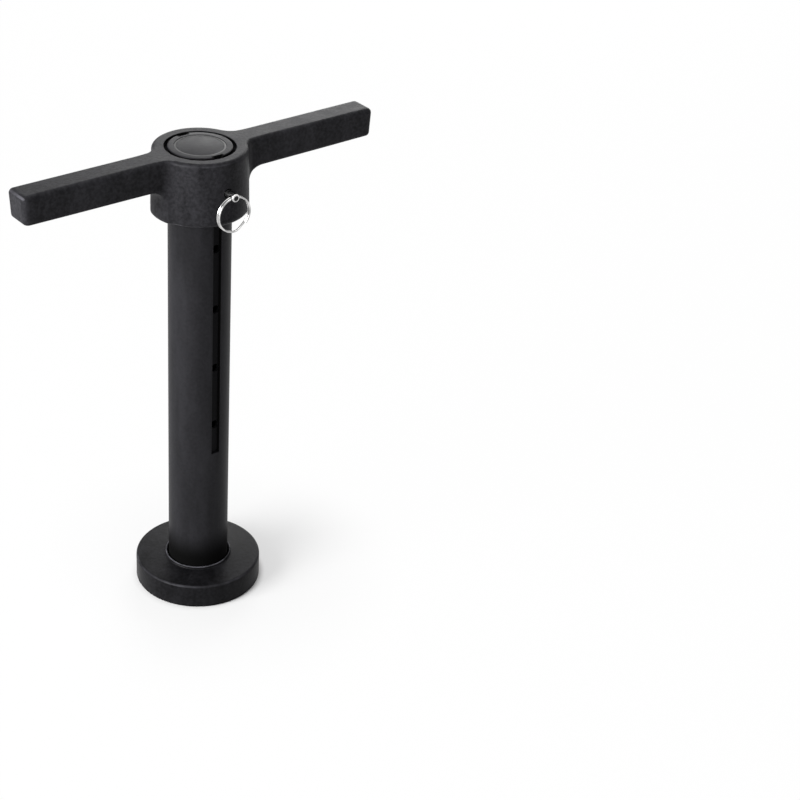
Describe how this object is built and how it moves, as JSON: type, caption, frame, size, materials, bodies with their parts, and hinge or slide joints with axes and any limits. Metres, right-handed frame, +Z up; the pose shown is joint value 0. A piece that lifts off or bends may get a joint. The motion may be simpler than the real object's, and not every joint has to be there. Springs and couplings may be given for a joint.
{
  "type": "kettlebell handle",
  "caption": "T-bar kettlebell handle for weight plates: a bar handle that slides on a grooved, drilled post, locks with a ring pin and stands on a round base.",
  "frame": {"origin": "on the post's axis, at the underside of the rubber pad that the base stands on", "axes": "+Z up along the post, X along the handle's arms, -Y the way the locking pin is pulled"},
  "size_m": [0.3028, 0.1004, 0.381],
  "materials": {
    "black_coat": "satin black powder coat, fine grain",
    "base_coat": "dull black coat, faintly scuffed",
    "rubber_pad": "matt black rubber",
    "zinc_steel": "zinc plated",
    "top_plastic": "matt black moulding",
    "disc_coat": "satin charcoal coat",
    "bright_steel": "bright nickel plate"
  },
  "bodies": {
    "post": {"post_tube": "black_coat", "base_disc": "base_coat", "base_pad": "rubber_pad", "base_washer": "zinc_steel", "base_bolt": "zinc_steel", "foot_plug": "zinc_steel", "top_plug": "top_plastic", "top_disc": "disc_coat"},
    "handle": {"handle_casting": "black_coat"},
    "lock_pin": {"lock_pin": "bright_steel", "detent_spring": "zinc_steel"},
    "detent_ball": {"detent_ball": "bright_steel"},
    "pull_ring": {"pull_ring": "bright_steel"}
  },
  "joints": [
    {"name": "handle_slide", "type": "slide", "parent": "post", "child": "handle", "axis": [0, 0, 1], "range_m": [-0.2032, 0.06]},
    {"name": "pin_pull", "type": "slide", "parent": "handle", "child": "lock_pin", "axis": [0, -1, 0], "range_m": [-0.0046, 0.022]},
    {"name": "ring_swing", "type": "hinge", "parent": "lock_pin", "child": "pull_ring", "pos_m": [0, -0.0431, 0.3567], "axis": [-1, 0, 0], "range_deg": [0, 180]},
    {"name": "ball_press", "type": "slide", "parent": "lock_pin", "child": "detent_ball", "axis": [0, 0, 1], "range_m": [-0.00035, 0], "stiffness_N_per_m": 300, "deforming": ["detent_spring"]}
  ]
}
